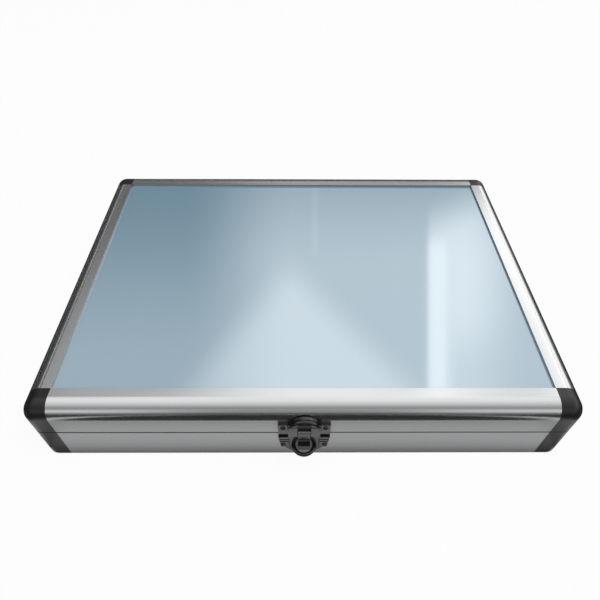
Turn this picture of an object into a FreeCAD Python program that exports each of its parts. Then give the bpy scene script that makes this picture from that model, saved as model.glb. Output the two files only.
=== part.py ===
import FreeCAD, Part
import math
import os

import Sketcher

# A slim two-half case: aluminium rails and black corner pieces frame a lid panel and a
# bottom panel. Two hinges join the halves at the back and a hinged latch closes the front.
#
# Frame: +Z up, the latch at the front on -Y, +X to the right. The origin is the centre of
# the case's underside. Millimetres.

Vector = FreeCAD.Vector

doc = FreeCAD.newDocument("SlimCase")
sheet = doc.addObject("Spreadsheet::Sheet", "Sizes")

# ---------------------------------------------------------------- driving dimensions

SIZES = [
    ("case_width", 312, "outside, left to right"),
    ("case_depth", 227, "outside, front to back, without latch and hinges"),
    ("base_height", 27.3, "base half, underside to rim"),
    ("lid_height", 22.6, "lid half, rim to top"),
    ("split_gap", 0.4, "between the rims when the case is shut"),
    ("rail_width", 15, "rail seen from above"),
    ("edge_radius", 9.6, "rounded top edge"),
    ("corner_radius", 7.6, "the case's corners in plan"),
    ("foot_radius", 2, "bottom edge"),
    ("rim_break", 0.25, "bevel on both rims"),
    ("wall", 1.4, "rail and corner wall"),
    ("web", 1.2, "inner shelf that carries a panel"),
    ("panel_thickness", 3, "lid panel and bottom panel"),
    ("panel_bite", 2.2, "panel edge held in its groove"),
    ("panel_play", 0.1, "between a panel and each groove face"),
    ("lip_rise", 2.8, "dust lip above the base rim"),
    ("lip_thickness", 1.2, "dust lip"),
    ("lip_play", 0.4, "dust lip inside the lid wall"),
    ("lip_shoulder", 3, "thick band under the dust lip"),
    ("key_length", 18, "corner key inside each rail"),
    ("key_thickness", 4, "corner key"),
    ("key_play", 0.15, "corner key to rail wall"),
    ("key_margin", 1, "corner key to what is above and below it"),
    ("joint_gap", 0.05, "rail end to corner piece"),
    ("base_pad_thickness", 5, "foam in the base"),
    ("lid_pad_thickness", 4, "foam in the lid"),
    ("pad_gap", 0.4, "foam to the hard pieces round it"),
    ("hinge_spacing", 180, "hinge centre to hinge centre"),
    ("hinge_width", 40, "leaf width"),
    ("leaf_thickness", 1.2, "hinge leaf"),
    ("base_leaf_height", 19, "below the pin"),
    ("lid_leaf_height", 12.4, "above the pin"),
    ("knuckle_radius", 2.8, "hinge knuckle"),
    ("middle_knuckle", 18, "length of the lid leaf's knuckle"),
    ("knuckle_gap", 0.3, "knuckle to the case and to the other leaf"),
    ("hinge_pin_radius", 1.2, "hinge pin"),
    ("pin_play", 0.08, "radial, in a knuckle that turns"),
    ("pin_head_radius", 1.9, "hinge pin's peened ends"),
    ("pin_head_length", 0.7, "hinge pin's peened ends"),
    ("rivet_radius", 1.6, "shank"),
    ("rivet_play", 0.05, "radial, shank in its hole"),
    ("rivet_head_radius", 2.9, "domed head outside"),
    ("rivet_head_height", 1.1, "domed head outside"),
    ("rivet_tail_radius", 2.5, "set tail inside"),
    ("rivet_tail_height", 0.8, "set tail inside"),
    ("hinge_rivet_spacing", 26, "two rivets in each leaf"),
    ("base_hinge_rivet_drop", 12.5, "below the pin"),
    ("lid_hinge_rivet_rise", 7.8, "above the pin"),
    ("latch_width", 29.4, "both latch plates"),
    ("latch_plate", 1.8, "thickness of the latch plates' flat parts"),
    ("latch_ear_height", 10.6, "lid plate's sides above its lower edge"),
    ("latch_arch_rise", 6.6, "arched top above the sides"),
    ("hood_width", 18.8, "raised middle of the lid plate"),
    ("hood_thickness", 3.7, "raised middle, out from the case"),
    ("hood_rounding", 1.2, "front edge of the hood"),
    ("hood_step", 0.5, "hood's arch below the plate's arch"),
    ("tongue_width", 7, "swinging tongue"),
    ("tongue_side_play", 0.35, "tongue to each side of its slot"),
    ("tongue_pin_rise", 11.4, "above the lid plate's lower edge"),
    ("tongue_pin_radius", 0.9, "latch pin"),
    ("tongue_knuckle_radius", 2.5, "rolled top of the tongue"),
    ("tongue_roll_gap", 0.35, "rolled top to the case"),
    ("tongue_waist", 3.2, "front of the tongue's middle, out from the case"),
    ("tongue_flare", 4.8, "front of the tongue's foot, out from the case"),
    ("tongue_back", 2.1, "back of the tongue, out from the case"),
    ("tongue_foot_drop", 7.9, "below the base plate's upper edge"),
    ("tongue_foot_bevel", 0.7, "front edge of the tongue's foot"),
    ("slot_head_room", 0.5, "slot above the tongue's knuckle"),
    ("base_plate_drop", 11.6, "base plate's sides below its upper edge"),
    ("base_plate_point", 6.4, "middle of the base plate below its sides"),
    ("base_plate_taper", 1.3, "each side, top to bottom"),
    ("base_ear_width", 6.2, "raised side blocks of the base plate"),
    ("base_ear_thickness", 2.9, "raised side blocks, out from the case"),
    ("ear_groove_width", 1, "two grooves across each side block"),
    ("ear_groove_drop", 2.2, "first groove below the base plate's upper edge"),
    ("ear_groove_pitch", 2.3, "from one groove to the next"),
    ("ear_groove_depth", 0.6, "two grooves across each side block"),
    ("loop_radius", 6.05, "padlock loop, centre of its bar"),
    ("loop_bar_radius", 1.2, "padlock loop's bar"),
    ("loop_out", 1.9, "centre of the loop's bend, out from the case"),
    ("loop_drop", 11.3, "below the base plate's upper edge"),
    ("latch_rivet_spacing", 24, "one rivet in each ear"),
    ("latch_head_radius", 1.6, "small heads on the latch"),
    ("latch_shank_radius", 1.1, "small rivets on the latch"),
    ("lid_latch_rivet_rise", 7.6, "above the lid plate's lower edge"),
    ("base_latch_rivet_drop", 8.7, "below the base plate's upper edge"),
]


class Size:
    """A length, with the formula over the sheet's cells that gives it."""

    def __init__(self, value, text):
        self.value = float(value)
        self.text = text

    @staticmethod
    def of(amount):
        if isinstance(amount, Size):
            return amount
        return Size(amount, f"{float(amount)!r}")

    def joined(self, other, sign, value):
        return Size(value, f"({self.text} {sign} {other.text})")

    def __add__(self, other):
        other = Size.of(other)
        return self.joined(other, "+", self.value + other.value)

    def __sub__(self, other):
        other = Size.of(other)
        return self.joined(other, "-", self.value - other.value)

    def __mul__(self, other):
        other = Size.of(other)
        return self.joined(other, "*", self.value * other.value)

    def __truediv__(self, other):
        other = Size.of(other)
        return self.joined(other, "/", self.value / other.value)

    def __neg__(self):
        return Size.of(0) - self

    def least(self, other):
        return Size(min(self.value, other.value), f"min({self.text}; {other.text})")

    def root(self):
        return Size(math.sqrt(self.value), f"sqrt({self.text})")


class Sizes:
    """The sheet's cells, each read by its alias."""


S = Sizes()
for row, (alias, value, note) in enumerate(SIZES, start=1):
    sheet.set(f"A{row}", alias)
    sheet.set(f"B{row}", str(value))
    sheet.set(f"C{row}", note)
    sheet.setAlias(f"B{row}", alias)
    setattr(S, alias, Size(value, f"Sizes.{alias}"))
doc.recompute()

# ---------------------------------------------------------------- levels that several pieces share

half_width = S.case_width / 2
half_depth = S.case_depth / 2
lid_rim = S.base_height + S.split_gap
case_top = lid_rim + S.lid_height
groove = S.panel_thickness + S.panel_play * 2
corner_reach = S.rail_width - S.corner_radius
bend_height = case_top - S.edge_radius
lip_inside = S.wall + S.lip_play + S.lip_thickness

base_shelf = S.wall + groove
base_pad_low = base_shelf + S.web + S.pad_gap
base_pad_top = base_pad_low + S.base_pad_thickness

lid_shelf = case_top - S.wall - groove
lid_pad_top = lid_shelf - S.web - S.pad_gap
lid_pad_low = lid_pad_top - S.lid_pad_thickness
panel_inset = S.rail_width - S.panel_bite

# The inside of the rounded edge, at the height of the lid's shelf, lies this far in.
inner_bend = S.edge_radius - S.wall
bend_rise = lid_shelf - S.web - bend_height
lid_bend_inset = S.edge_radius - (inner_bend * inner_bend - bend_rise * bend_rise).root()

pin_height = S.base_height + S.split_gap / 2
pin_y = half_depth + S.knuckle_radius + S.knuckle_gap
base_hinge_rivets_z = pin_height - S.base_hinge_rivet_drop
lid_hinge_rivets_z = pin_height + S.lid_hinge_rivet_rise

lid_plate_low = lid_rim + S.rim_break
base_plate_top = S.base_height - S.rim_break
lid_latch_rivets_z = lid_plate_low + S.lid_latch_rivet_rise
base_latch_rivets_z = base_plate_top - S.base_latch_rivet_drop
tongue_pin_z = lid_plate_low + S.tongue_pin_rise
tongue_pin_out = S.tongue_knuckle_radius + S.tongue_roll_gap
tongue_foot_z = base_plate_top - S.tongue_foot_drop
loop_z = base_plate_top - S.loop_drop

# ---------------------------------------------------------------- drawing helpers

SUB_PARTS = []


def bind(thing, **amounts):
    """Set properties of an object and tie each to its formula."""
    for name, amount in amounts.items():
        amount = Size.of(amount)
        setattr(thing, name, amount.value)
        thing.setExpression(name, amount.text)
    return thing


def place(thing, x=0, y=0, z=0, turn=0, axis=Vector(0, 0, 1)):
    """Put an object at a point given by formulas, turned about one axis."""
    spot = [Size.of(amount) for amount in (x, y, z)]
    base = Vector(*[amount.value for amount in spot])
    thing.Placement = FreeCAD.Placement(base, FreeCAD.Rotation(axis, turn))
    for letter, amount in zip("xyz", spot):
        thing.setExpression(f"Placement.Base.{letter}", amount.text)
    return thing


def sub_part(thing, label):
    """Count an object as one of the pieces that are written out."""
    thing.Label = label
    SUB_PARTS.append(thing)
    return thing


def new_body(label):
    body = doc.addObject("PartDesign::Body", label)
    return sub_part(body, label)


def new_sketch(body, role, name, shift=None, lift=None):
    """A sketch on one of the body's own planes, moved along the plane's x or off the plane."""
    plane = [feature for feature in body.Origin.OriginFeatures if feature.Role == role][0]
    sketch = body.newObject("Sketcher::SketchObject", f"{body.Name}_{name}")
    sketch.AttachmentSupport = (plane, [""])
    sketch.MapMode = "FlatFace"
    shift = Size.of(shift or 0)
    lift = Size.of(lift or 0)
    sketch.AttachmentOffset = FreeCAD.Placement(Vector(shift.value, 0, lift.value), FreeCAD.Rotation())
    sketch.setExpression("AttachmentOffset.Base.x", shift.text)
    sketch.setExpression("AttachmentOffset.Base.z", lift.text)
    return sketch


def pin_down(sketch, kind, geometry, end, amount):
    """Hold one coordinate of a sketch point at a formula's value, measured from the origin."""
    axis_line = -2 if kind == "DistanceX" else -1
    if abs(amount.value) < 1e-9:
        sketch.addConstraint(Sketcher.Constraint("PointOnObject", geometry, end, axis_line))
        return
    if amount.value > 0:
        ends = (-1, 1, geometry, end)
    else:
        ends = (geometry, end, -1, 1)
        amount = -amount
    index = sketch.addConstraint(Sketcher.Constraint(kind, *ends, amount.value))
    sketch.setExpression(f"Constraints[{index}]", amount.text)


def arc_between(start, finish, radius, turn):
    """The short arc from one point to another; turn is 1 for counter-clockwise and -1 for clockwise."""
    chord = finish - start
    side = Vector(-chord.y, chord.x, 0).normalize() * turn
    away = math.sqrt(max(radius**2 - (chord.Length / 2) ** 2, 0))
    centre = (start + finish) / 2 + side * away
    first, last = (start, finish) if turn > 0 else (finish, start)
    angles = [math.atan2(point.y - centre.y, point.x - centre.x) for point in (first, last)]
    circle = Part.Circle(centre, Vector(0, 0, 1), radius)
    return Part.ArcOfCircle(circle, angles[0], angles[1])


def outline(sketch, steps):
    """Draw a closed outline. A step is (x, y) for a straight side that ends there, or
    (x, y, radius, turn) for an arc that does."""
    steps = [tuple(Size.of(item) for item in step[:2]) + tuple(step[2:]) for step in steps]
    points = [Vector(step[0].value, step[1].value, 0) for step in steps]
    ends = []
    for number, step in enumerate(steps):
        start = points[number - 1]
        finish = points[number]
        if len(step) == 2:
            geometry = sketch.addGeometry(Part.LineSegment(start, finish), False)
            ends.append((geometry, 1, 2))
            continue
        radius, turn = Size.of(step[2]), step[3]
        geometry = sketch.addGeometry(arc_between(start, finish, radius.value, turn), False)
        index = sketch.addConstraint(Sketcher.Constraint("Radius", geometry, radius.value))
        sketch.setExpression(f"Constraints[{index}]", radius.text)
        ends.append((geometry, 1, 2) if turn > 0 else (geometry, 2, 1))
    for number, step in enumerate(steps):
        geometry, _, end = ends[number]
        following = ends[(number + 1) % len(ends)]
        sketch.addConstraint(Sketcher.Constraint("Coincident", geometry, end, following[0], following[1]))
        pin_down(sketch, "DistanceX", geometry, end, step[0])
        pin_down(sketch, "DistanceY", geometry, end, step[1])
    return sketch


def circles(sketch, places):
    """Draw circles, each (x, y, radius)."""
    for x, y, radius in places:
        x, y, radius = Size.of(x), Size.of(y), Size.of(radius)
        circle = Part.Circle(Vector(x.value, y.value, 0), Vector(0, 0, 1), radius.value)
        geometry = sketch.addGeometry(circle, False)
        index = sketch.addConstraint(Sketcher.Constraint("Radius", geometry, radius.value))
        sketch.setExpression(f"Constraints[{index}]", radius.text)
        pin_down(sketch, "DistanceX", geometry, 3, x)
        pin_down(sketch, "DistanceY", geometry, 3, y)
    return sketch


def box_outline(left, right, low, high):
    return [(left, low), (right, low), (right, high), (left, high)]


def extrude(body, kind, sketch, length, reverse=False, both_ways=False):
    """A pad or a pocket of a sketch, away from its plane or to both sides of it."""
    feature = body.newObject(f"PartDesign::{kind}", f"{sketch.Name}_{kind.lower()}")
    feature.Profile = sketch
    if both_ways:
        feature.SideType = "Symmetric"
    feature.Reversed = reverse
    bind(feature, Length=length)
    sketch.Visibility = False
    return feature


def revolve(body, sketch, angle, reverse=False):
    """A revolution of a sketch about its own vertical axis."""
    feature = body.newObject("PartDesign::Revolution", f"{sketch.Name}_turn")
    feature.Profile = sketch
    feature.ReferenceAxis = (sketch, ["V_Axis"])
    feature.Reversed = reverse
    feature.Angle = angle
    sketch.Visibility = False
    return feature


# ---------------------------------------------------------------- frame sections


def lid_section():
    """The lid rail's section: x runs outward from the panel's side, y is height."""
    reach = S.rail_width
    bend = reach - S.edge_radius
    inner = S.edge_radius - S.wall
    rise_over = inner - groove
    rise_under = rise_over - S.web
    shelf_over = bend + (inner * inner - rise_over * rise_over).root()
    shelf_under = bend + (inner * inner - rise_under * rise_under).root()
    return [
        (reach - S.rim_break, lid_rim),
        (reach, lid_rim + S.rim_break),
        (reach, bend_height),
        (bend, case_top, S.edge_radius, 1),
        (0, case_top),
        (0, case_top - S.wall),
        (bend, case_top - S.wall),
        (shelf_over, lid_shelf, inner, -1),
        (0, lid_shelf),
        (0, lid_shelf - S.web),
        (shelf_under, lid_shelf - S.web),
        (reach - S.wall, bend_height, inner, -1),
        (reach - S.wall, lid_rim),
    ]


def base_section(reach):
    """The base rail's section, in the same terms. reach is how far it goes in from outside."""
    shelf_top = base_shelf + S.web
    shoulder = S.base_height - S.lip_shoulder
    lip_outer = reach - S.wall - S.lip_play
    lip_inner = reach - lip_inside
    return [
        (reach - S.foot_radius, 0),
        (reach, S.foot_radius, S.foot_radius, 1),
        (reach, S.base_height - S.rim_break),
        (reach - S.rim_break, S.base_height),
        (lip_outer, S.base_height),
        (lip_outer, S.base_height + S.lip_rise),
        (lip_inner, S.base_height + S.lip_rise),
        (lip_inner, shoulder),
        (reach - S.wall, shoulder),
        (reach - S.wall, shelf_top),
        (0, shelf_top),
        (0, base_shelf),
        (reach - S.wall, base_shelf),
        (reach - S.wall, S.wall),
        (0, S.wall),
        (0, 0),
    ]


def make_rail(label, section, length, holes=()):
    """A rail along X with its outer face on +Y, drilled through its wall at each (x, z, radius)."""
    body = new_body(label)
    profile = outline(new_sketch(body, "YZ_Plane", "section"), section)
    extrude(body, "Pad", profile, length, both_ways=True)
    if holes:
        drill = circles(new_sketch(body, "XZ_Plane", "holes"), holes)
        extrude(body, "Pocket", drill, S.rail_width * 2)
    return body


def dress(body, kind, name, wanted, **amounts):
    """A fillet or a chamfer on the edges of the body's last feature that pass a test."""
    doc.recompute()
    tip = body.Tip
    names = [f"Edge{number}" for number, edge in enumerate(tip.Shape.Edges, start=1) if wanted(edge)]
    feature = body.newObject(f"PartDesign::{kind}", f"{body.Name}_{name}")
    feature.Base = (tip, names)
    return bind(feature, **amounts)


# A corner piece fills the +X +Y quarter about its origin, which is the centre of the case's
# corner in plan, and reaches back to the ends of the two rails.


def add_keys(body, key_low, key_high):
    """A key along each rail, rooted in the corner piece's wall."""
    key_outer = S.corner_radius - S.wall - S.key_play
    key_inner = key_outer - S.key_thickness
    root_outer = S.corner_radius - S.wall / 2
    for role, side, reverse in (("XZ_Plane", "x", False), ("YZ_Plane", "y", True)):
        for name, outer, length in (
            ("root", root_outer, corner_reach),
            ("key", key_outer, corner_reach + S.key_length),
        ):
            sketch = new_sketch(body, role, f"{name}_{side}")
            extrude(body, "Pad", outline(sketch, box_outline(key_inner, outer, key_low, key_high)), length, reverse)


def make_base_corner(label, key_low, key_high):
    """The base rail's section turned through a quarter, with a short straight arm each way."""
    body = new_body(label)
    bend = outline(new_sketch(body, "XZ_Plane", "bend"), base_section(S.corner_radius))
    revolve(body, bend, 90)
    for role, side, reverse in (("XZ_Plane", "x", False), ("YZ_Plane", "y", True)):
        arm = outline(new_sketch(body, role, f"arm_{side}", shift=-corner_reach), base_section(S.rail_width))
        extrude(body, "Pad", arm, corner_reach, reverse)
    add_keys(body, key_low, key_high)
    return body


def corner_hollow(body, name, inset, low, high):
    """Cut the inside of a corner piece between two heights, its wall as thick as the inset."""
    edge, bend = S.corner_radius - inset, S.corner_radius - S.wall
    hollow = outline(new_sketch(body, "XY_Plane", name, lift=low), [
        (-corner_reach, -corner_reach),
        (edge, -corner_reach),
        (edge, edge - bend),
        (edge - bend, edge, bend, 1),
        (-corner_reach, edge),
    ])
    extrude(body, "Pocket", hollow, high - low, reverse=True)


def make_lid_corner(label, key_low, key_high):
    """A block rounded over both ways, its mitre softened, hollow below and grooved for the panel."""
    body = new_body(label)
    over = S.corner_radius - S.edge_radius
    block_side = outline(new_sketch(body, "XZ_Plane", "block", lift=-S.corner_radius), [
        (-corner_reach, lid_rim),
        (S.corner_radius, lid_rim),
        (S.corner_radius, bend_height),
        (over, case_top, S.edge_radius, 1),
        (-corner_reach, case_top),
    ])
    extrude(body, "Pad", block_side, S.rail_width)
    past_side, past_top = S.corner_radius + S.wall, case_top + S.wall
    offcut = outline(new_sketch(body, "YZ_Plane", "round_over"), [
        (past_side, bend_height),
        (past_side, past_top),
        (over, past_top),
        (over, case_top),
        (S.corner_radius, bend_height, S.edge_radius, -1),
    ])
    extrude(body, "Pocket", offcut, S.rail_width * 3, both_ways=True)
    dress(body, "Fillet", "mitre", on_mitre, Radius=S.corner_radius)
    dress(body, "Chamfer", "rim_bevel", on_outer_rim, Size=S.rim_break)
    corner_hollow(body, "hollow", S.wall, lid_rim, bend_height)
    corner_hollow(body, "upper_hollow", lid_bend_inset, bend_height, lid_shelf - S.web)
    slot_edge = S.corner_radius - panel_inset + S.panel_play
    slot = outline(
        new_sketch(body, "XY_Plane", "panel_slot", lift=lid_shelf),
        box_outline(-corner_reach, slot_edge, -corner_reach, slot_edge),
    )
    extrude(body, "Pocket", slot, groove, reverse=True)
    add_keys(body, key_low, key_high)
    return body


def on_mitre(edge):
    """Whether an edge lies on the corner's mitre: the upright edge or the curved one over it."""
    middle = edge.valueAt((edge.FirstParameter + edge.LastParameter) / 2)
    return abs(middle.x - middle.y) < 1e-6 and middle.x > S.corner_radius.value - S.edge_radius.value


def on_outer_rim(edge):
    """Whether an edge of a lid corner lies on the rim's outer side."""
    low = all(abs(vertex.Point.z - lid_rim.value) < 1e-6 for vertex in edge.Vertexes)
    middle = edge.valueAt((edge.FirstParameter + edge.LastParameter) / 2)
    return low and min(middle.x, middle.y) > -corner_reach.value + 1e-6


# ---------------------------------------------------------------- base and lid frames

front_length = S.case_width - S.rail_width * 2 - S.joint_gap * 2
side_length = S.case_depth - S.rail_width * 2 - S.joint_gap * 2
hole_radius = S.rivet_radius + S.rivet_play
latch_hole_radius = S.latch_shank_radius + S.rivet_play

hinge_rivet_xs = [
    S.hinge_spacing * side / 2 + S.hinge_rivet_spacing * end / 2 for side in (-1, 1) for end in (-1, 1)
]
latch_rivet_xs = [S.latch_rivet_spacing * side / 2 for side in (-1, 1)]

HALVES = {
    "base": {
        "section": base_section(S.rail_width),
        "make_corner": make_base_corner,
        "back_holes": [(x, base_hinge_rivets_z, hole_radius) for x in hinge_rivet_xs],
        "front_holes": [(x, base_latch_rivets_z, latch_hole_radius) for x in latch_rivet_xs],
        "key_low": base_pad_top + S.key_margin,
        "key_high": S.base_height - S.lip_shoulder - S.key_margin,
    },
    "lid": {
        "section": lid_section(),
        "make_corner": make_lid_corner,
        "back_holes": [(x, lid_hinge_rivets_z, hole_radius) for x in hinge_rivet_xs],
        "front_holes": [(x, lid_latch_rivets_z, latch_hole_radius) for x in latch_rivet_xs],
        "key_low": S.base_height + S.lip_rise + S.key_margin,
        "key_high": bend_height.least(lid_pad_low - S.key_margin),
    },
}

rail_out_x = half_width - S.rail_width
rail_out_y = half_depth - S.rail_width
bend_x = half_width - S.corner_radius
bend_y = half_depth - S.corner_radius

for half, plan in HALVES.items():
    section = plan["section"]
    make_corner = plan["make_corner"]
    back = make_rail(f"{half}_back_rail", section, front_length, plan["back_holes"])
    place(back, y=rail_out_y)
    front = make_rail(f"{half}_front_rail", section, front_length, plan["front_holes"])
    place(front, y=-rail_out_y, turn=180)
    left = make_rail(f"{half}_left_rail", section, side_length)
    place(left, x=-rail_out_x, turn=90)
    right = make_rail(f"{half}_right_rail", section, side_length)
    place(right, x=rail_out_x, turn=-90)
    for spot, x, y, turn in (
        ("back_right", bend_x, bend_y, 0),
        ("back_left", -bend_x, bend_y, 90),
        ("front_left", -bend_x, -bend_y, 180),
        ("front_right", bend_x, -bend_y, 270),
    ):
        corner = make_corner(f"{half}_corner_{spot}", plan["key_low"], plan["key_high"])
        place(corner, x=x, y=y, turn=turn)

# ---------------------------------------------------------------- panels and foam


def make_slab(label, inset, low, thickness):
    """A flat sheet, its edges at one inset from the case's sides all round."""
    slab = doc.addObject("Part::Box", label)
    bind(slab, Length=S.case_width - inset * 2, Width=S.case_depth - inset * 2, Height=thickness)
    place(slab, x=inset - half_width, y=inset - half_depth, z=low)
    return sub_part(slab, label)


make_slab("bottom_panel", panel_inset, S.wall + S.panel_play, S.panel_thickness)
make_slab("lid_panel", panel_inset, lid_shelf + S.panel_play, S.panel_thickness)


def make_foam(label, inset, low, thickness):
    """A foam sheet whose rounded corners follow the corner pieces."""
    body = new_body(label)
    x, y, bend = half_width - inset, half_depth - inset, S.corner_radius - S.wall - S.pad_gap
    plan = outline(new_sketch(body, "XY_Plane", "plan", lift=low), [
        (x - bend, -y),
        (x, bend - y, bend, 1),
        (x, y - bend),
        (x - bend, y, bend, 1),
        (bend - x, y),
        (-x, y - bend, bend, 1),
        (-x, bend - y),
        (bend - x, -y, bend, 1),
    ])
    extrude(body, "Pad", plan, thickness)


make_foam("base_foam", S.wall + S.pad_gap, base_pad_low, S.base_pad_thickness)
make_foam("lid_foam", lid_bend_inset + S.pad_gap, lid_pad_low, S.lid_pad_thickness)

# ---------------------------------------------------------------- solids joined from primitives

PRIMITIVES = {"count": 0}


def primitive(kind, **amounts):
    PRIMITIVES["count"] += 1
    return bind(doc.addObject(f"Part::{kind}", f"{kind}_{PRIMITIVES['count']}"), **amounts)


def block(low, high):
    """A box between two corners given by formulas."""
    low = [Size.of(amount) for amount in low]
    high = [Size.of(amount) for amount in high]
    box = primitive("Box", Length=high[0] - low[0], Width=high[1] - low[1], Height=high[2] - low[2])
    return place(box, *low)


def rod(radius, length, start, along):
    """A cylinder from a start point along X or Y."""
    axis, turn = {"x": (Vector(0, 1, 0), 90), "y": (Vector(1, 0, 0), -90)}[along]
    return place(primitive("Cylinder", Radius=radius, Height=length), *start, turn=turn, axis=axis)


def joined(kind, label, pieces):
    """A fusion or a compound of several objects."""
    whole = doc.addObject(f"Part::{kind}", label)
    if kind == "Compound":
        whole.Links = pieces
    else:
        whole.Shapes = pieces
    return whole


def cut_away(label, solid, tools):
    result = doc.addObject("Part::Cut", label)
    result.Base = solid
    result.Tool = tools[0] if len(tools) == 1 else joined("MultiFuse", f"{label}_tools", tools)
    return sub_part(result, label)


def make_rivets(label, xs, face_y, outward, z, grip, shank, head, tail):
    """Rivets through the front or back wall, drawn up on the outside face and set inside."""
    pieces = []
    for number, x in enumerate(xs):
        name = f"{label}_{number + 1}"
        if outward > 0:
            inside = face_y - grip
            outside = face_y
            tail_start = inside - S.rivet_tail_height
        else:
            inside = face_y + grip
            outside = face_y - S.rivet_head_height
            tail_start = inside
        body_start = inside if outward > 0 else face_y
        body = rod(shank, grip, (x, body_start, z), "y")
        set_end = rod(tail, S.rivet_tail_height, (x, tail_start, z), "y")
        # The dome is a ball trimmed by a disc as deep as the head.
        height = S.rivet_head_height
        ball_radius = (head * head + height * height) / (height * 2)
        sink = (ball_radius - height) * outward
        ball = place(primitive("Sphere", Radius=ball_radius), x, face_y - sink, z)
        disc = rod(head, height, (x, outside, z), "y")
        dome = doc.addObject("Part::Common", f"{name}_head")
        dome.Base = ball
        dome.Tool = disc
        pieces.append(joined("MultiFuse", name, [body, set_end, dome]))
    return sub_part(joined("Compound", label, pieces), label)


# ---------------------------------------------------------------- hinges

leaf_back = half_depth + S.leaf_thickness
side_knuckle = (S.hinge_width - S.middle_knuckle) / 2 - S.knuckle_gap
leaf_clear = S.knuckle_radius + S.knuckle_gap


def make_leaf(label, centre, spans, edge, near, rivets_z, bore):
    """A hinge leaf flat on the back of the case. It reaches from edge to near, and at each
    of its knuckles, given as (start, length) from the leaf's centre, on to the pin."""
    low, high = (edge, near) if edge.value < near.value else (near, edge)
    half = S.hinge_width / 2
    pieces = [block((centre - half, half_depth, low), (centre + half, leaf_back, high))]
    for start, length in spans:
        neck_low, neck_high = (low, pin_height) if edge.value < near.value else (pin_height, high)
        left = centre + start
        pieces.append(block((left, half_depth, neck_low), (left + length, leaf_back, neck_high)))
        pieces.append(rod(S.knuckle_radius, length, (left, pin_y, pin_height), "x"))
    leaf = joined("MultiFuse", f"{label}_blank", pieces)
    pin_bore = rod(bore, S.hinge_width * 2, (centre - S.hinge_width, pin_y, pin_height), "x")
    tools = [pin_bore]
    for end in (-1, 1):
        x = centre + S.hinge_rivet_spacing * end / 2
        tools.append(rod(hole_radius, S.leaf_thickness * 3, (x, half_depth - S.leaf_thickness, rivets_z), "y"))
    return cut_away(label, leaf, tools)


def make_hinge(side_name, side):
    centre = S.hinge_spacing * side / 2
    outer_spans = [
        (-S.hinge_width / 2, side_knuckle),
        (S.hinge_width / 2 - side_knuckle, side_knuckle),
    ]
    middle_span = [(-S.middle_knuckle / 2, S.middle_knuckle)]
    bore = S.hinge_pin_radius + S.pin_play
    make_leaf(
        f"hinge_{side_name}_base_leaf", centre, outer_spans,
        pin_height - S.base_leaf_height, pin_height - leaf_clear, base_hinge_rivets_z, bore,
    )
    make_leaf(
        f"hinge_{side_name}_lid_leaf", centre, middle_span,
        pin_height + S.lid_leaf_height, pin_height + leaf_clear, lid_hinge_rivets_z, bore,
    )
    shank_length = S.hinge_width + S.pin_play * 2
    start = centre - shank_length / 2
    pin_pieces = [
        rod(S.hinge_pin_radius, shank_length, (start, pin_y, pin_height), "x"),
        rod(S.pin_head_radius, S.pin_head_length, (start - S.pin_head_length, pin_y, pin_height), "x"),
        rod(S.pin_head_radius, S.pin_head_length, (start + shank_length, pin_y, pin_height), "x"),
    ]
    label = f"hinge_{side_name}_pin"
    sub_part(joined("MultiFuse", label, pin_pieces), label)


make_hinge("left", -1)
make_hinge("right", 1)

leaf_grip = S.leaf_thickness + S.wall
for label, z in (("hinge_base_rivets", base_hinge_rivets_z), ("hinge_lid_rivets", lid_hinge_rivets_z)):
    make_rivets(
        label, hinge_rivet_xs, leaf_back, 1, z, leaf_grip,
        S.rivet_radius, S.rivet_head_radius, S.rivet_tail_radius,
    )

# ---------------------------------------------------------------- latch
#
# The latch bodies are drawn in the plane of the case's front face, X to the right and Y up,
# and stand out from it.

half_latch = S.latch_width / 2
half_hood = S.hood_width / 2
slot_half = S.tongue_width / 2 + S.tongue_side_play
ear_top = lid_plate_low + S.latch_ear_height
hood_side = ear_top - S.hood_step
arch_radius = (half_hood * half_hood + S.latch_arch_rise * S.latch_arch_rise) / (S.latch_arch_rise * 2)
slot_top = tongue_pin_z + S.tongue_knuckle_radius + S.slot_head_room
tongue_bore = S.tongue_pin_radius + S.pin_play


def lies_at(depth):
    """A test for edges that lie wholly at one distance out from the case's front face."""
    return lambda edge: all(abs(vertex.Point.y + depth.value) < 1e-6 for vertex in edge.Vertexes)


def make_latch_lid_plate():
    body = new_body("latch_lid_plate")
    plate = outline(new_sketch(body, "XZ_Plane", "plate"), [
        (-half_latch, lid_plate_low),
        (half_latch, lid_plate_low),
        (half_latch, ear_top),
        (half_hood, ear_top),
        (-half_hood, ear_top, arch_radius, 1),
        (-half_latch, ear_top),
    ])
    extrude(body, "Pad", plate, S.latch_plate)
    hood = outline(new_sketch(body, "XZ_Plane", "hood"), [
        (-half_hood, lid_plate_low),
        (half_hood, lid_plate_low),
        (half_hood, hood_side),
        (-half_hood, hood_side, arch_radius, 1),
    ])
    extrude(body, "Pad", hood, S.hood_thickness)
    dress(body, "Fillet", "hood_rounding", lies_at(S.hood_thickness), Radius=S.hood_rounding)
    slot = outline(
        new_sketch(body, "XZ_Plane", "slot"),
        box_outline(-slot_half, slot_half, lid_plate_low - S.wall, slot_top),
    )
    extrude(body, "Pocket", slot, S.hood_thickness * 2, reverse=True)
    bore = circles(
        new_sketch(body, "YZ_Plane", "bore"), [(-tongue_pin_out, tongue_pin_z, tongue_bore)]
    )
    extrude(body, "Pocket", bore, S.hood_width * 2, both_ways=True)
    holes = circles(
        new_sketch(body, "XZ_Plane", "holes"),
        [(x, lid_latch_rivets_z, latch_hole_radius) for x in latch_rivet_xs],
    )
    extrude(body, "Pocket", holes, S.hood_thickness * 2, reverse=True)
    place(body, y=-half_depth)


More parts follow.
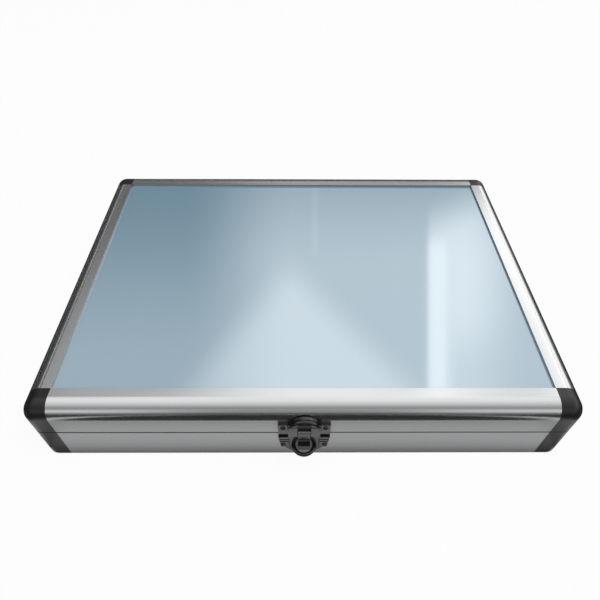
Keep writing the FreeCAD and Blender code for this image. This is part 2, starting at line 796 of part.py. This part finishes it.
def make_tongue():
    """The swinging tongue, drawn from the side: a rolled top, a thin waist and a flared foot."""
    body = new_body("latch_tongue")
    pin_out, pin_z, roll = tongue_pin_out, tongue_pin_z, S.tongue_knuckle_radius
    waist_top = pin_z - roll * 2
    waist_low = tongue_foot_z + roll * 2
    side = outline(new_sketch(body, "YZ_Plane", "side"), [
        (-S.tongue_back, tongue_foot_z),
        (-S.tongue_back, waist_top),
        (-(pin_out - roll), pin_z),
        (-pin_out, pin_z + roll, roll, 1),
        (-(pin_out + roll), pin_z, roll, 1),
        (-S.tongue_waist, waist_top - roll, roll * 4, 1),
        (-S.tongue_waist, waist_low),
        (-S.tongue_flare, tongue_foot_z + S.tongue_foot_bevel, roll * 4, -1),
        (-(S.tongue_flare - S.tongue_foot_bevel), tongue_foot_z),
    ])
    extrude(body, "Pad", side, S.tongue_width, both_ways=True)
    bore = circles(new_sketch(body, "YZ_Plane", "bore"), [(-pin_out, pin_z, tongue_bore)])
    extrude(body, "Pocket", bore, S.tongue_width * 2, both_ways=True)
    place(body, y=-half_depth)


def make_latch_base_plate():
    body = new_body("latch_base_plate")
    side_low = base_plate_top - S.base_plate_drop
    foot_half = half_latch - S.base_plate_taper
    point_low = side_low - S.base_plate_point
    plate = outline(new_sketch(body, "XZ_Plane", "plate"), [
        (-S.loop_radius - S.loop_bar_radius, point_low),
        (S.loop_radius + S.loop_bar_radius, point_low),
        (foot_half, side_low),
        (half_latch, base_plate_top),
        (-half_latch, base_plate_top),
        (-foot_half, side_low),
    ])
    extrude(body, "Pad", plate, S.latch_plate)
    ear_inner = half_latch - S.base_ear_width
    for name, way in (("left", -1), ("right", 1)):
        inner, foot, outer = ear_inner * way, foot_half * way, half_latch * way
        ear = outline(new_sketch(body, "XZ_Plane", f"ear_{name}"), [
            (inner, side_low),
            (foot, side_low),
            (outer, base_plate_top),
            (inner, base_plate_top),
        ])
        extrude(body, "Pad", ear, S.base_ear_thickness)
    dress(body, "Chamfer", "ear_bevel", lies_at(S.base_ear_thickness), Size=S.rim_break)
    # Two grooves run across each ear, above the rivet.
    floor = S.base_ear_thickness - S.ear_groove_depth
    for number in (1, 2):
        high = base_plate_top - S.ear_groove_drop - S.ear_groove_pitch * (number - 1)
        cut = outline(
            new_sketch(body, "XZ_Plane", f"groove_{number}", lift=floor),
            box_outline(-half_latch, half_latch, high - S.ear_groove_width, high),
        )
        extrude(body, "Pocket", cut, S.base_ear_thickness, reverse=True)
    holes = circles(
        new_sketch(body, "XZ_Plane", "holes"),
        [(x, base_latch_rivets_z, latch_hole_radius) for x in latch_rivet_xs],
    )
    extrude(body, "Pocket", holes, S.hood_thickness * 2, reverse=True)
    # The padlock loop: half a ring that lies level, on two short straight legs.
    legs = circles(new_sketch(body, "XZ_Plane", "loop_legs"), [
        (S.loop_radius * way, loop_z, S.loop_bar_radius) for way in (-1, 1)
    ])
    extrude(body, "Pad", legs, S.loop_out)
    bend = circles(
        new_sketch(body, "XZ_Plane", "loop_bend", lift=S.loop_out),
        [(S.loop_radius, loop_z, S.loop_bar_radius)],
    )
    revolve(body, bend, 180, reverse=True)
    place(body, y=-half_depth)


make_latch_lid_plate()
make_tongue()
make_latch_base_plate()

latch_pin = rod(
    S.tongue_pin_radius, S.hood_width,
    (-half_hood, -half_depth - tongue_pin_out, tongue_pin_z), "x",
)
sub_part(latch_pin, "latch_pin")

for label, z, thickness in (
    ("latch_lid_rivets", lid_latch_rivets_z, S.latch_plate),
    ("latch_base_rivets", base_latch_rivets_z, S.base_ear_thickness),
):
    make_rivets(
        label, latch_rivet_xs, -half_depth - thickness, -1, z, thickness + S.wall,
        S.latch_shank_radius, S.latch_head_radius, S.latch_head_radius,
    )

# ---------------------------------------------------------------- checks and files

doc.recompute()

for item in doc.Objects:
    if "Invalid" in item.State or "Error" in item.State:
        raise RuntimeError(f"{item.Name} failed: {item.State}")
    if item.TypeId == "Sketcher::SketchObject" and not item.FullyConstrained:
        raise RuntimeError(f"{item.Name} isn't fully constrained")
    if item.TypeId == "PartDesign::Pocket":
        if item.Shape.Volume > item.BaseFeature.Shape.Volume - 0.01:
            raise RuntimeError(f"{item.Name} cuts nothing")

os.makedirs("parts", exist_ok=True)
for piece in SUB_PARTS:
    if piece.Shape.isNull() or not piece.Shape.isValid():
        raise RuntimeError(f"{piece.Label} has no valid shape")
for piece in SUB_PARTS:
    piece.Shape.exportStep(f"parts/{piece.Label}.step")
print(len(SUB_PARTS), "sub-parts")
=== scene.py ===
import math

import bmesh
import bpy
from mathutils import Matrix, Vector


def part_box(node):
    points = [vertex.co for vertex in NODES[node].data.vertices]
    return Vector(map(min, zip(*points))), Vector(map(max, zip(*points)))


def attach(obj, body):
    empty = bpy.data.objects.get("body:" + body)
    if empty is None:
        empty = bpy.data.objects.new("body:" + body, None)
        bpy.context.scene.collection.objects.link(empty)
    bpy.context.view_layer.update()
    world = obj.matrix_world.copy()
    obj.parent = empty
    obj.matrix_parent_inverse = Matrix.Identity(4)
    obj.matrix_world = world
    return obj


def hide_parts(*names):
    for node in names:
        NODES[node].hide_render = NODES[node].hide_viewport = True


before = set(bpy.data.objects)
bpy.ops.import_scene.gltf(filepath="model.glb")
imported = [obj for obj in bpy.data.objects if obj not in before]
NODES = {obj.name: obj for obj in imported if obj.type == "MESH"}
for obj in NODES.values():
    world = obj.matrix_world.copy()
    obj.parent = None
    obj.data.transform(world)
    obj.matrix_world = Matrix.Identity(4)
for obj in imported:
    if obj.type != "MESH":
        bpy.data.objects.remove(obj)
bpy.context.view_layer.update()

MM = 0.001
SCENE = bpy.context.scene
SCENE.view_settings.view_transform = "Standard"


def corner(node, which):
    """A node's lowest (0) or highest (1) corner as a vector."""
    return Vector(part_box(node)[which])


CASE_TOP = corner("lid_front_rail", 1).z


# ---------------------------------------------------------------- shader nodes


class Value:
    """A number socket that takes part in plain arithmetic."""

    def __init__(self, paint, socket):
        self.paint = paint
        self.socket = socket

    def math(self, operation, *others):
        inputs = dict(enumerate((self, *others)))
        return self.paint.node("ShaderNodeMath", {"operation": operation}, inputs).value()

    def __add__(self, other):
        return self.math("ADD", other)

    __radd__ = __add__

    def __mul__(self, other):
        return self.math("MULTIPLY", other)

    __rmul__ = __mul__

    def __sub__(self, other):
        return self.math("SUBTRACT", other)

    def __rsub__(self, other):
        inputs = {0: other, 1: self}
        return self.paint.node("ShaderNodeMath", {"operation": "SUBTRACT"}, inputs).value()

    def __truediv__(self, other):
        return self.math("DIVIDE", other)

    def most(self, other):
        return self.math("MAXIMUM", other)

    def step(self, low, high):
        """0 below low and 1 above high, with a soft change between them."""
        settings = {"interpolation_type": "SMOOTHSTEP"}
        inputs = {"Value": self, "From Min": low, "From Max": high}
        return self.paint.node("ShaderNodeMapRange", settings, inputs).value("Result")


class Added:
    """A node that has been added, with its outputs as values or bare sockets."""

    def __init__(self, paint, node):
        self.paint = paint
        self.node = node

    def value(self, name=0):
        return Value(self.paint, self.node.outputs[name])

    def __getitem__(self, name):
        return self.node.outputs[name]


class Paint:
    """The node tree of a material or a world."""

    def __init__(self, owner):
        owner.use_nodes = True
        self.tree = owner.node_tree
        self.tree.nodes.clear()

    def node(self, kind, settings=None, inputs=None):
        node = self.tree.nodes.new(kind)
        for name, setting in (settings or {}).items():
            if name == "stops":
                self.set_stops(node.color_ramp, setting)
            else:
                setattr(node, name, setting)
        for name, item in (inputs or {}).items():
            self.plug(node.inputs[name], item)
        return Added(self, node)

    def plug(self, socket, item):
        if isinstance(item, Value):
            item = item.socket
        if isinstance(item, bpy.types.NodeSocket):
            self.tree.links.new(item, socket)
        elif isinstance(item, tuple) and len(item) == 3 and socket.type == "RGBA":
            socket.default_value = (*item, 1)
        else:
            socket.default_value = item

    @staticmethod
    def set_stops(ramp, stops):
        for position, tone in stops[2:]:
            ramp.elements.new(position)
        for element, (position, tone) in zip(ramp.elements, sorted(stops)):
            element.position = position
            element.color = (*tone, 1)

    def place(self):
        """Object coordinates as a vector socket and as three values."""
        spot = self.node("ShaderNodeTexCoord")["Object"]
        parts = self.node("ShaderNodeSeparateXYZ", None, {0: spot})
        return spot, parts.value("X"), parts.value("Y"), parts.value("Z")

    def stretched(self, spot, scale):
        """A vector scaled differently along each axis."""
        return self.node("ShaderNodeMapping", None, {"Vector": spot, "Scale": scale})["Vector"]

    def noise(self, spot, scale, detail=3.0, roughness=0.5):
        inputs = {"Vector": spot, "Scale": scale, "Detail": detail, "Roughness": roughness}
        return self.node("ShaderNodeTexNoise", None, inputs).value("Fac")

    def mixed(self, amount, tone_a, tone_b):
        inputs = {0: amount, 6: tone_a, 7: tone_b}
        return self.node("ShaderNodeMix", {"data_type": "RGBA"}, inputs)[2]

    def cells(self, spot, scale):
        """Distance from the middle of the nearest of many small cells."""
        inputs = {"Vector": spot, "Scale": scale}
        return self.node("ShaderNodeTexVoronoi", {"feature": "F1"}, inputs).value("Distance")

    def bump(self, height, strength, distance):
        inputs = {"Height": height, "Strength": strength, "Distance": distance}
        return self.node("ShaderNodeBump", None, inputs)["Normal"]

    def finish(self, inputs):
        shader = self.node("ShaderNodeBsdfPrincipled", None, inputs)
        self.node("ShaderNodeOutputMaterial", None, {"Surface": shader["BSDF"]})


def new_paint(name):
    material = bpy.data.materials.new(name)
    return material, Paint(material)


def inside(value, low, high, soft):
    """1 between two limits and 0 outside them, with a change as wide as soft."""
    return value.step(low - soft / 2, low + soft / 2) * (1.0 - value.step(high - soft / 2, high + soft / 2))


# ---------------------------------------------------------------- materials

# Painted shadow: a dark tone along the rims of the two halves stands in for the shade in the split between
# them, so that the split reads as a dark line.
SPLIT_SHADOW_LOW = corner("latch_base_plate", 1).z - 0.1 * MM
SPLIT_SHADOW_HIGH = corner("latch_lid_plate", 0).z + 0.1 * MM


def brushed_aluminium(name, along, curve_low, curve_high):
    """Satin anodised extrusion: a polished roll along the top edge and a finer matt face below it.

    along is the index of the axis that the extrusion and its grain run along.
    """
    material, paint = new_paint(name)
    spot, x, y, z = paint.place()
    grain_scale = [900.0, 900.0, 900.0]
    grain_scale[along] = 9.0
    grain = paint.noise(paint.stretched(spot, grain_scale), 1.0, 4.0, 0.6)
    streak_scale = [160.0, 160.0, 160.0]
    streak_scale[along] = 1.2
    streak = paint.noise(paint.stretched(spot, streak_scale), 1.0, 3.0, 0.55)
    cloud = paint.noise(spot, 14.0, 2.0)
    polished = z.step(curve_low, curve_high)
    rough = 0.44 - 0.25 * polished + 0.10 * (streak - 0.5) + 0.07 * (grain - 0.5) + 0.05 * (cloud - 0.5)
    shade = 0.5 + 0.55 * (streak - 0.5) + 0.30 * (grain - 0.5) + 0.25 * (cloud - 0.5)
    # Painted shadow: near the split height the metal's colour is darkened almost to black, in place of the
    # shade in the gap.
    split_shadow = inside(z, SPLIT_SHADOW_LOW, SPLIT_SHADOW_HIGH, 0.1 * MM)
    metal = paint.mixed(shade, (0.38, 0.385, 0.39), (0.50, 0.505, 0.51))
    tone = paint.mixed(0.9 * split_shadow, metal, (0.02, 0.02, 0.02))
    relief = grain * (1.0 - 0.7 * polished) + streak * 0.6
    paint.finish({
        "Base Color": tone,
        "Metallic": 1.0,
        "Roughness": rough,
        "Normal": paint.bump(relief, 0.10, 0.02 * MM),
    })
    return material


def black_plastic(name, tone_low, tone_high, rough, grain_size, shine):
    """Moulded black plastic with a fine spark-eroded grain."""
    material, paint = new_paint(name)
    spot, x, y, z = paint.place()
    grain = paint.noise(spot, 1.0 / (grain_size * MM), 3.0, 0.55)
    cloud = paint.noise(spot, 45.0, 3.0)
    scuff = paint.noise(paint.stretched(spot, (60.0, 60.0, 420.0)), 1.0, 4.0, 0.65)
    worn = scuff.step(0.58, 0.78)
    shade = 0.5 + 0.8 * (cloud - 0.5) + 0.25 * worn
    paint.finish({
        "Base Color": paint.mixed(shade, tone_low, tone_high),
        "Roughness": rough + 0.10 * (cloud - 0.5) + 0.08 * (grain - 0.5) + 0.06 * worn,
        "Specular IOR Level": shine,
        "Normal": paint.bump(grain, 0.18, 0.05 * MM),
    })
    return material


def lacquered_panel(name):
    """Pale blue-grey sheet with a mirror-like lacquer and a faint long wave in it."""
    material, paint = new_paint(name)
    spot, x, y, z = paint.place()
    wave = paint.noise(paint.stretched(spot, (5.0, 7.0, 5.0)), 1.0, 1.0)
    haze = paint.noise(spot, 30.0, 3.0)
    dust = paint.noise(spot, 1400.0, 2.0)
    specks = dust.step(0.66, 0.74)
    tone = paint.mixed(0.5 + 0.4 * (haze - 0.5), (0.150, 0.305, 0.410), (0.170, 0.330, 0.445))
    paint.finish({
        "Base Color": tone,
        "IOR": 3.0,
        "Roughness": 0.04 + 0.03 * haze + 0.05 * specks,
        "Coat Weight": 0.5,
        "Coat Roughness": 0.03,
        "Normal": paint.bump(wave, 0.15, 1.0 * MM),
    })
    return material


def grained_panel(name):
    """Grey sheet with a pebbled grain, on the underside and inside."""
    material, paint = new_paint(name)
    spot, x, y, z = paint.place()
    cells = paint.cells(spot, 700.0)
    cloud = paint.noise(spot, 20.0, 3.0)
    shade = 0.5 + 0.6 * (cloud - 0.5) + 0.3 * (cells - 0.4)
    paint.finish({
        "Base Color": paint.mixed(shade, (0.10, 0.105, 0.11), (0.15, 0.155, 0.16)),
        "Roughness": 0.50 + 0.12 * (cloud - 0.5),
        "Normal": paint.bump(cells, 0.35, 0.12 * MM),
    })
    return material


def zinc_steel(name):
    """Bright zinc plate over pressed steel."""
    material, paint = new_paint(name)
    spot, x, y, z = paint.place()
    spangle = paint.noise(spot, 220.0, 2.0)
    brush = paint.noise(paint.stretched(spot, (40.0, 900.0, 900.0)), 1.0, 3.0)
    shade = 0.5 + 0.6 * (spangle - 0.5) + 0.3 * (brush - 0.5)
    paint.finish({
        "Base Color": paint.mixed(shade, (0.42, 0.42, 0.41), (0.60, 0.60, 0.59)),
        "Metallic": 1.0,
        "Roughness": 0.28 + 0.12 * (spangle - 0.5) + 0.08 * (brush - 0.5),
        "Normal": paint.bump(brush, 0.08, 0.03 * MM),
    })
    return material


def lining_foam(name):
    """Open-cell foam: fine pores over a slow unevenness."""
    material, paint = new_paint(name)
    spot, x, y, z = paint.place()
    pores = paint.cells(spot, 1300.0)
    cloud = paint.noise(spot, 90.0, 4.0)
    shade = 0.25 + 0.7 * pores + 0.5 * (cloud - 0.5)
    paint.finish({
        "Base Color": paint.mixed(shade, (0.018, 0.019, 0.021), (0.060, 0.063, 0.068)),
        "Roughness": 0.92 + 0.05 * (cloud - 0.5),
        "Sheen Weight": 0.25,
        "Normal": paint.bump(pores, 0.7, 0.35 * MM),
    })
    return material


roll_start = CASE_TOP - 9.9 * MM
roll_done = CASE_TOP - 9.2 * MM
aluminium = {
    axis: brushed_aluminium(f"aluminium_along_{letter}", axis, roll_start, roll_done)
    for axis, letter in enumerate("xy")
}
corner_plastic = black_plastic(
    "corner_plastic", (0.004, 0.004, 0.005), (0.012, 0.012, 0.013), rough=0.34, grain_size=0.6, shine=0.32
)
latch_plastic = black_plastic(
    "latch_plastic", (0.003, 0.003, 0.004), (0.009, 0.009, 0.010), rough=0.20, grain_size=0.5, shine=0.50
)
panel_sheet = lacquered_panel("lid_panel_sheet")
bottom_sheet = grained_panel("bottom_panel_sheet")
steel = zinc_steel("zinc_steel")
foam = lining_foam("lining_foam")


def node_material(name):
    if name.endswith("_rail"):
        return aluminium[0 if "front" in name or "back" in name else 1]
    if "_corner_" in name:
        return corner_plastic
    if name == "lid_panel":
        return panel_sheet
    if name == "bottom_panel":
        return bottom_sheet
    if name.startswith("hinge_"):
        return steel
    return latch_plastic


for node_name, node in NODES.items():
    for number in range(max(1, len(node.material_slots))):
        if number >= len(node.material_slots):
            node.data.materials.append(None)
        node.material_slots[number].material = node_material(node_name)

# ---------------------------------------------------------------- foam lining


FOAM_BEND = 6.8 * MM
BUMP_PITCH = 16 * MM
GRID_PER_BUMP = 4


def foam_pad(name, node, body, bump_height, face_up):
    """A foam sheet with rounded corners. Its open face has rows of rounded bumps."""
    low, high = corner(node, 0), corner(node, 1)
    size = high - low
    middle = (low + high) / 2
    mesh = bmesh.new()
    columns = round(size.x / BUMP_PITCH) * GRID_PER_BUMP
    rows = round(size.y / BUMP_PITCH) * GRID_PER_BUMP
    bmesh.ops.create_grid(mesh, x_segments=columns, y_segments=rows, size=0.5)
    half_x, half_y = size.x / 2, size.y / 2
    for vertex in mesh.verts:
        x, y = vertex.co.x * size.x, vertex.co.y * size.y
        over_x = max(abs(x) - (half_x - FOAM_BEND), 0) / FOAM_BEND
        over_y = max(abs(y) - (half_y - FOAM_BEND), 0) / FOAM_BEND
        round_x = over_x * math.sqrt(1 - over_y**2 / 2)
        round_y = over_y * math.sqrt(1 - over_x**2 / 2)
        vertex.co.x = math.copysign(abs(x) - (over_x - round_x) * FOAM_BEND, x)
        vertex.co.y = math.copysign(abs(y) - (over_y - round_y) * FOAM_BEND, y)
        inset = min(half_x - abs(x), half_y - abs(y))
        edge = min(inset / (BUMP_PITCH * 0.5), 1)
        wave = (math.cos(math.tau * x / BUMP_PITCH) + math.cos(math.tau * y / BUMP_PITCH)) / 4 + 0.5
        vertex.co.z = -bump_height * (1 - wave * edge)
    skirt = bmesh.ops.extrude_face_region(mesh, geom=mesh.faces[:])
    for item in skirt["geom"]:
        if isinstance(item, bmesh.types.BMVert):
            item.co.z = -size.z
    bmesh.ops.recalc_face_normals(mesh, faces=mesh.faces[:])
    if not face_up:
        bmesh.ops.transform(mesh, matrix=Matrix.Rotation(math.pi, 4, "X"), verts=mesh.verts[:])
    face = high.z if face_up else low.z
    bmesh.ops.translate(mesh, vec=Vector((middle.x, middle.y, face)), verts=mesh.verts[:])
    data = bpy.data.meshes.new(name)
    mesh.to_mesh(data)
    mesh.free()
    for polygon in data.polygons:
        polygon.use_smooth = True
    pad = bpy.data.objects.new(name, data)
    SCENE.collection.objects.link(pad)
    pad.data.materials.append(foam)
    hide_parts(node)
    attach(pad, body)
    return pad


foam_pad("base_foam_pad", "base_foam", "base", bump_height=2.4 * MM, face_up=True)
foam_pad("lid_foam_pad", "lid_foam", "lid", bump_height=1.6 * MM, face_up=False)

# ---------------------------------------------------------------- floor, light and camera


def stage_plane(name, width, depth, matrix, material):
    mesh = bmesh.new()
    bmesh.ops.create_grid(mesh, x_segments=1, y_segments=1, size=0.5)
    bmesh.ops.scale(mesh, vec=Vector((width, depth, 1)), verts=mesh.verts[:])
    data = bpy.data.meshes.new(name)
    mesh.to_mesh(data)
    mesh.free()
    plane = bpy.data.objects.new(name, data)
    plane.matrix_world = matrix
    SCENE.collection.objects.link(plane)
    plane.data.materials.append(material)
    return plane


def plainly_seen(paint):
    """1 for rays from the camera, a reflection or a clear piece, and 0 for light that falls on things."""
    seen = paint.node("ShaderNodeLightPath")
    camera_or_glossy = seen.value("Is Camera Ray").most(seen.value("Is Glossy Ray"))
    return camera_or_glossy.most(seen.value("Is Transmission Ray"))


FLOOR_WHITE_SHARE = 0.93


def floor_material():
    """A pale floor that is nearly white where it is seen and keeps a faint shadow."""
    material, paint = new_paint("studio_floor")
    share = plainly_seen(paint) * FLOOR_WHITE_SHARE
    white = paint.node("ShaderNodeEmission", None, {"Color": (1.0, 1.0, 1.0), "Strength": 1.0})
    matt = paint.node("ShaderNodeBsdfDiffuse", None, {"Color": (0.86, 0.86, 0.86)})
    mix = paint.node("ShaderNodeMixShader", None, {0: share, 1: matt["BSDF"], 2: white["Emission"]})
    paint.node("ShaderNodeOutputMaterial", None, {"Surface": mix["Shader"]})
    return material


def card_material(name, pattern):
    """A card seen only in reflections. pattern gives its colour from the card's own coordinates."""
    material, paint = new_paint(name)
    spot, x, y, z = paint.place()
    light = paint.node("ShaderNodeEmission", None, pattern(paint, x, y))
    paint.node("ShaderNodeOutputMaterial", None, {"Surface": light["Emission"]})
    material.cycles.emission_sampling = "NONE"
    return material


def reflection_card(name, width, depth, matrix, pattern):
    card = stage_plane(name, width, depth, matrix, card_material(f"{name}_face", pattern))
    card.visible_camera = False
    card.visible_diffuse = False
    card.visible_transmission = False
    card.visible_shadow = False
    return card


FLOOR_SIZE = 14.0
stage_plane("floor", FLOOR_SIZE, FLOOR_SIZE, Matrix.Translation((0, 0, 0)), floor_material())

# The eye looks down at the case's front. The ceiling hangs level over the case, so the level
# lid panel shows it at one scale.
EYE = Vector((-4.6 * MM, -246.4 * MM, CASE_TOP + 232.9 * MM))
LENS = 29.21
turn_right = Matrix.Rotation(math.radians(-0.67), 4, "Z")
tip_down = Matrix.Rotation(math.radians(90 - 47.33), 4, "X")
lean = Matrix.Rotation(math.radians(0.55), 4, "Z")
LOOK = turn_right @ tip_down @ lean
PANEL_TOP = corner("lid_panel", 1).z
CEILING = 1.5
REACH = (CEILING - PANEL_TOP) / (EYE.z - PANEL_TOP)
DROP = (EYE.z - PANEL_TOP) * (1 + REACH)


def on_ceiling(spot):
    """Where the eye sees the ceiling in the lid panel at a point of the panel."""
    return Vector((EYE.x + (spot.x - EYE.x) * (1 + REACH), EYE.y + (spot.y - EYE.y) * (1 + REACH), CEILING))


ceiling_low, ceiling_high = on_ceiling(corner("lid_panel", 0)), on_ceiling(corner("lid_panel", 1))
ceiling_middle = (ceiling_low + ceiling_high) / 2
ceiling_span = ceiling_high - ceiling_low
CEILING_FRONT = -1.6
CEILING_BACK = ceiling_high.y + ceiling_span.y / 4
CEILING_WIDTH = ceiling_span.x * 1.5
ceiling_spot = Vector((ceiling_middle.x, (CEILING_FRONT + CEILING_BACK) / 2, CEILING))


def ceiling_pattern(paint, x, y):
    """A window and a lit ceiling, laid out by the slopes at which the eye meets them in the panel.

    across grows to the right and down grows towards the eye. In front of the case the ceiling
    is a plain wash, which only the rounded edges show.
    """
    spot_x, spot_y = x + (ceiling_spot.x - EYE.x), y + (ceiling_spot.y - EYE.y)
    right, up, back = (LOOK.to_3x3().col[index] for index in range(3))

    def along(axis):
        return spot_x * axis.x + spot_y * axis.y - DROP * axis.z

    across = 0.0 - along(right) / along(back)
    down = along(up) / along(back)
    left_light = 0.22 + 0.60 * down.step(-0.26, 0.15)
    middle_light = 0.75 + 0.55 * down.step(-0.27, -0.06)
    wash = left_light + (middle_light - left_light) * across.step(-0.24, -0.01)
    fan = (across + 0.075 + 0.8 * down).step(-0.06, 0.06) * (down + 0.044 - across).step(-0.06, 0.06)
    window_top = (down + 0.5 * (across - 0.27)).step(-0.215, -0.10)
    window_fade = 1.0 - 0.5 * down.step(0.0, 0.16) * across.step(0.29, 0.33)
    window = across.step(0.255, 0.272) * (1.0 - across.step(0.33, 0.48)) * window_top * window_fade
    streak = inside(across, 0.263, 0.300, 0.010) * down.step(-0.14, -0.10)
    line = inside(across, 0.025, 0.036, 0.008) * inside(down, -0.23, -0.10, 0.05)
    overhead = wash + 0.55 * fan + 0.85 * window + 0.30 * streak + 0.15 * line
    room_x, room_y = spot_x + EYE.x, spot_y + EYE.y
    for past, strength in (
        (1.0 - room_x.step(ceiling_low.x - 0.12, ceiling_low.x - 0.02), 0.12),
        (room_x.step(ceiling_high.x + 0.02, ceiling_high.x + 0.12), 3.4),
        (room_y.step(ceiling_high.y + 0.02, ceiling_high.y + 0.12), 0.08),
    ):
        overhead = overhead + (strength - overhead) * past
    in_front = 0.45 + 1.25 * room_y.step(-1.9, 0.3)
    behind = room_y.step(0.25, 0.75)
    return {"Color": (1.0, 1.0, 1.0), "Strength": in_front + (overhead - in_front) * behind}


CEILING_DEPTH = CEILING_BACK - CEILING_FRONT
ceiling_place = Matrix.Translation(ceiling_spot)
reflection_card("ceiling_card", CEILING_WIDTH, CEILING_DEPTH, ceiling_place, ceiling_pattern)


def banded(paint, y, depth, stops):
    """Grey bands across a card: each stop is a distance from its lower edge and a strength."""
    tones = [(distance / depth, (strength,) * 3) for distance, strength in stops]
    ramp = paint.node("ShaderNodeValToRGB", {"stops": tones}, {"Fac": y / depth + 0.5})
    return ramp["Color"]


# Cards on all four sides of the case, upright and flat on the floor, for its metal edges.
WALL_HEIGHT = 1.48
WALL_TONES = [
    (0, 0.14), (0.16, 0.22), (0.45, 0.95), (0.62, 1.0),
    (0.85, 0.85), (1.08, 0.42), (1.25, 0.36), (1.48, 0.50),
]
FLOOR_CARD = 0.9
FLOOR_TONES = [(0, 0.07), (0.866, 0.05), (0.880, 1.30), (0.9, 0.14)]
CARD_LIFT = 0.3 * MM


def wall_pattern(paint, x, y):
    """Bands of light with a dark stand in the middle of their lower part."""
    stand = inside(x, -0.5, 0.5, 0.5) * (1.0 - y.step(0.0, 0.3))
    return {"Color": banded(paint, y, WALL_HEIGHT, WALL_TONES), "Strength": 1.25 - 0.70 * stand}


def floor_pattern(paint, x, y):
    return {"Color": banded(paint, y, FLOOR_CARD, FLOOR_TONES), "Strength": 1.0}


def rising(low, high):
    """A card that grows from one strength at the floor to another half way up."""
    stops = [(0, low), (0.25, low), (0.80, high)]
    return lambda paint, x, y: {"Color": banded(paint, y, WALL_HEIGHT, stops), "Strength": 1.0}


upright = Matrix.Rotation(math.pi / 2, 4, "X")
wall_spot = Matrix.Translation((0, -1.5, WALL_HEIGHT / 2)) @ upright
reflection_card("front_card", 4.4, WALL_HEIGHT, wall_spot, wall_pattern)
for name, place, turn, width, low, high in (
    ("left_card", (-1.8, 0.75), 90, 4.5, 0.06, 0.12),
    ("right_card", (1.8, 0.75), 90, 4.5, 0.10, 2.2),
    ("back_card", (0, 2.95), 0, 3.7, 0.10, 0.16),
):
    facing = Matrix.Rotation(math.radians(turn), 4, "Z") @ upright
    spot = Matrix.Translation((*place, WALL_HEIGHT / 2)) @ facing
    reflection_card(name, width, WALL_HEIGHT, spot, rising(low, high))
for name, turn, away in (
    ("front_floor_card", 0, -corner("base_front_rail", 0).y),
    ("right_floor_card", 90, corner("base_right_rail", 1).x),
    ("back_floor_card", 180, corner("base_back_rail", 1).y),
    ("left_floor_card", 270, -corner("base_left_rail", 0).x),
):
    spot = Matrix.Translation((0, -away - FLOOR_CARD / 2 - CARD_LIFT, CARD_LIFT))
    reflection_card(name, 2.2, FLOOR_CARD, Matrix.Rotation(math.radians(turn), 4, "Z") @ spot, floor_pattern)

ROOM_LIGHT = 0.55
world = bpy.data.worlds.new("studio")
SCENE.world = world
air = Paint(world)
strength = ROOM_LIGHT + (1.0 - ROOM_LIGHT) * plainly_seen(air)
backdrop = air.node("ShaderNodeBackground", None, {"Color": (1.0, 1.0, 1.0), "Strength": strength})
air.node("ShaderNodeOutputWorld", None, {"Surface": backdrop["Background"]})


def soft_lamp(name, spot, aim, size, power):
    data = bpy.data.lights.new(name, "AREA")
    data.shape = "DISK"
    data.size = size
    data.energy = power
    lamp = bpy.data.objects.new(name, data)
    direction = Vector(aim) - Vector(spot)
    lamp.matrix_world = Matrix.Translation(spot) @ direction.to_track_quat("-Z", "Y").to_matrix().to_4x4()
    SCENE.collection.objects.link(lamp)
    lamp.visible_glossy = False
    return lamp


soft_lamp("key_lamp", (0.7, -0.3, 1.5), (0, 0, 0), 0.9, 9.0)
soft_lamp("fill_lamp", (-0.9, -0.9, 1.2), (0, 0, 0), 1.2, 3.0)

camera_data = bpy.data.cameras.new("camera")
camera_data.sensor_width = 36.0
camera_data.lens = LENS
camera_data.clip_start = 0.01
camera = bpy.data.objects.new("camera", camera_data)
camera.matrix_world = Matrix.Translation(EYE) @ LOOK
SCENE.collection.objects.link(camera)
SCENE.camera = camera
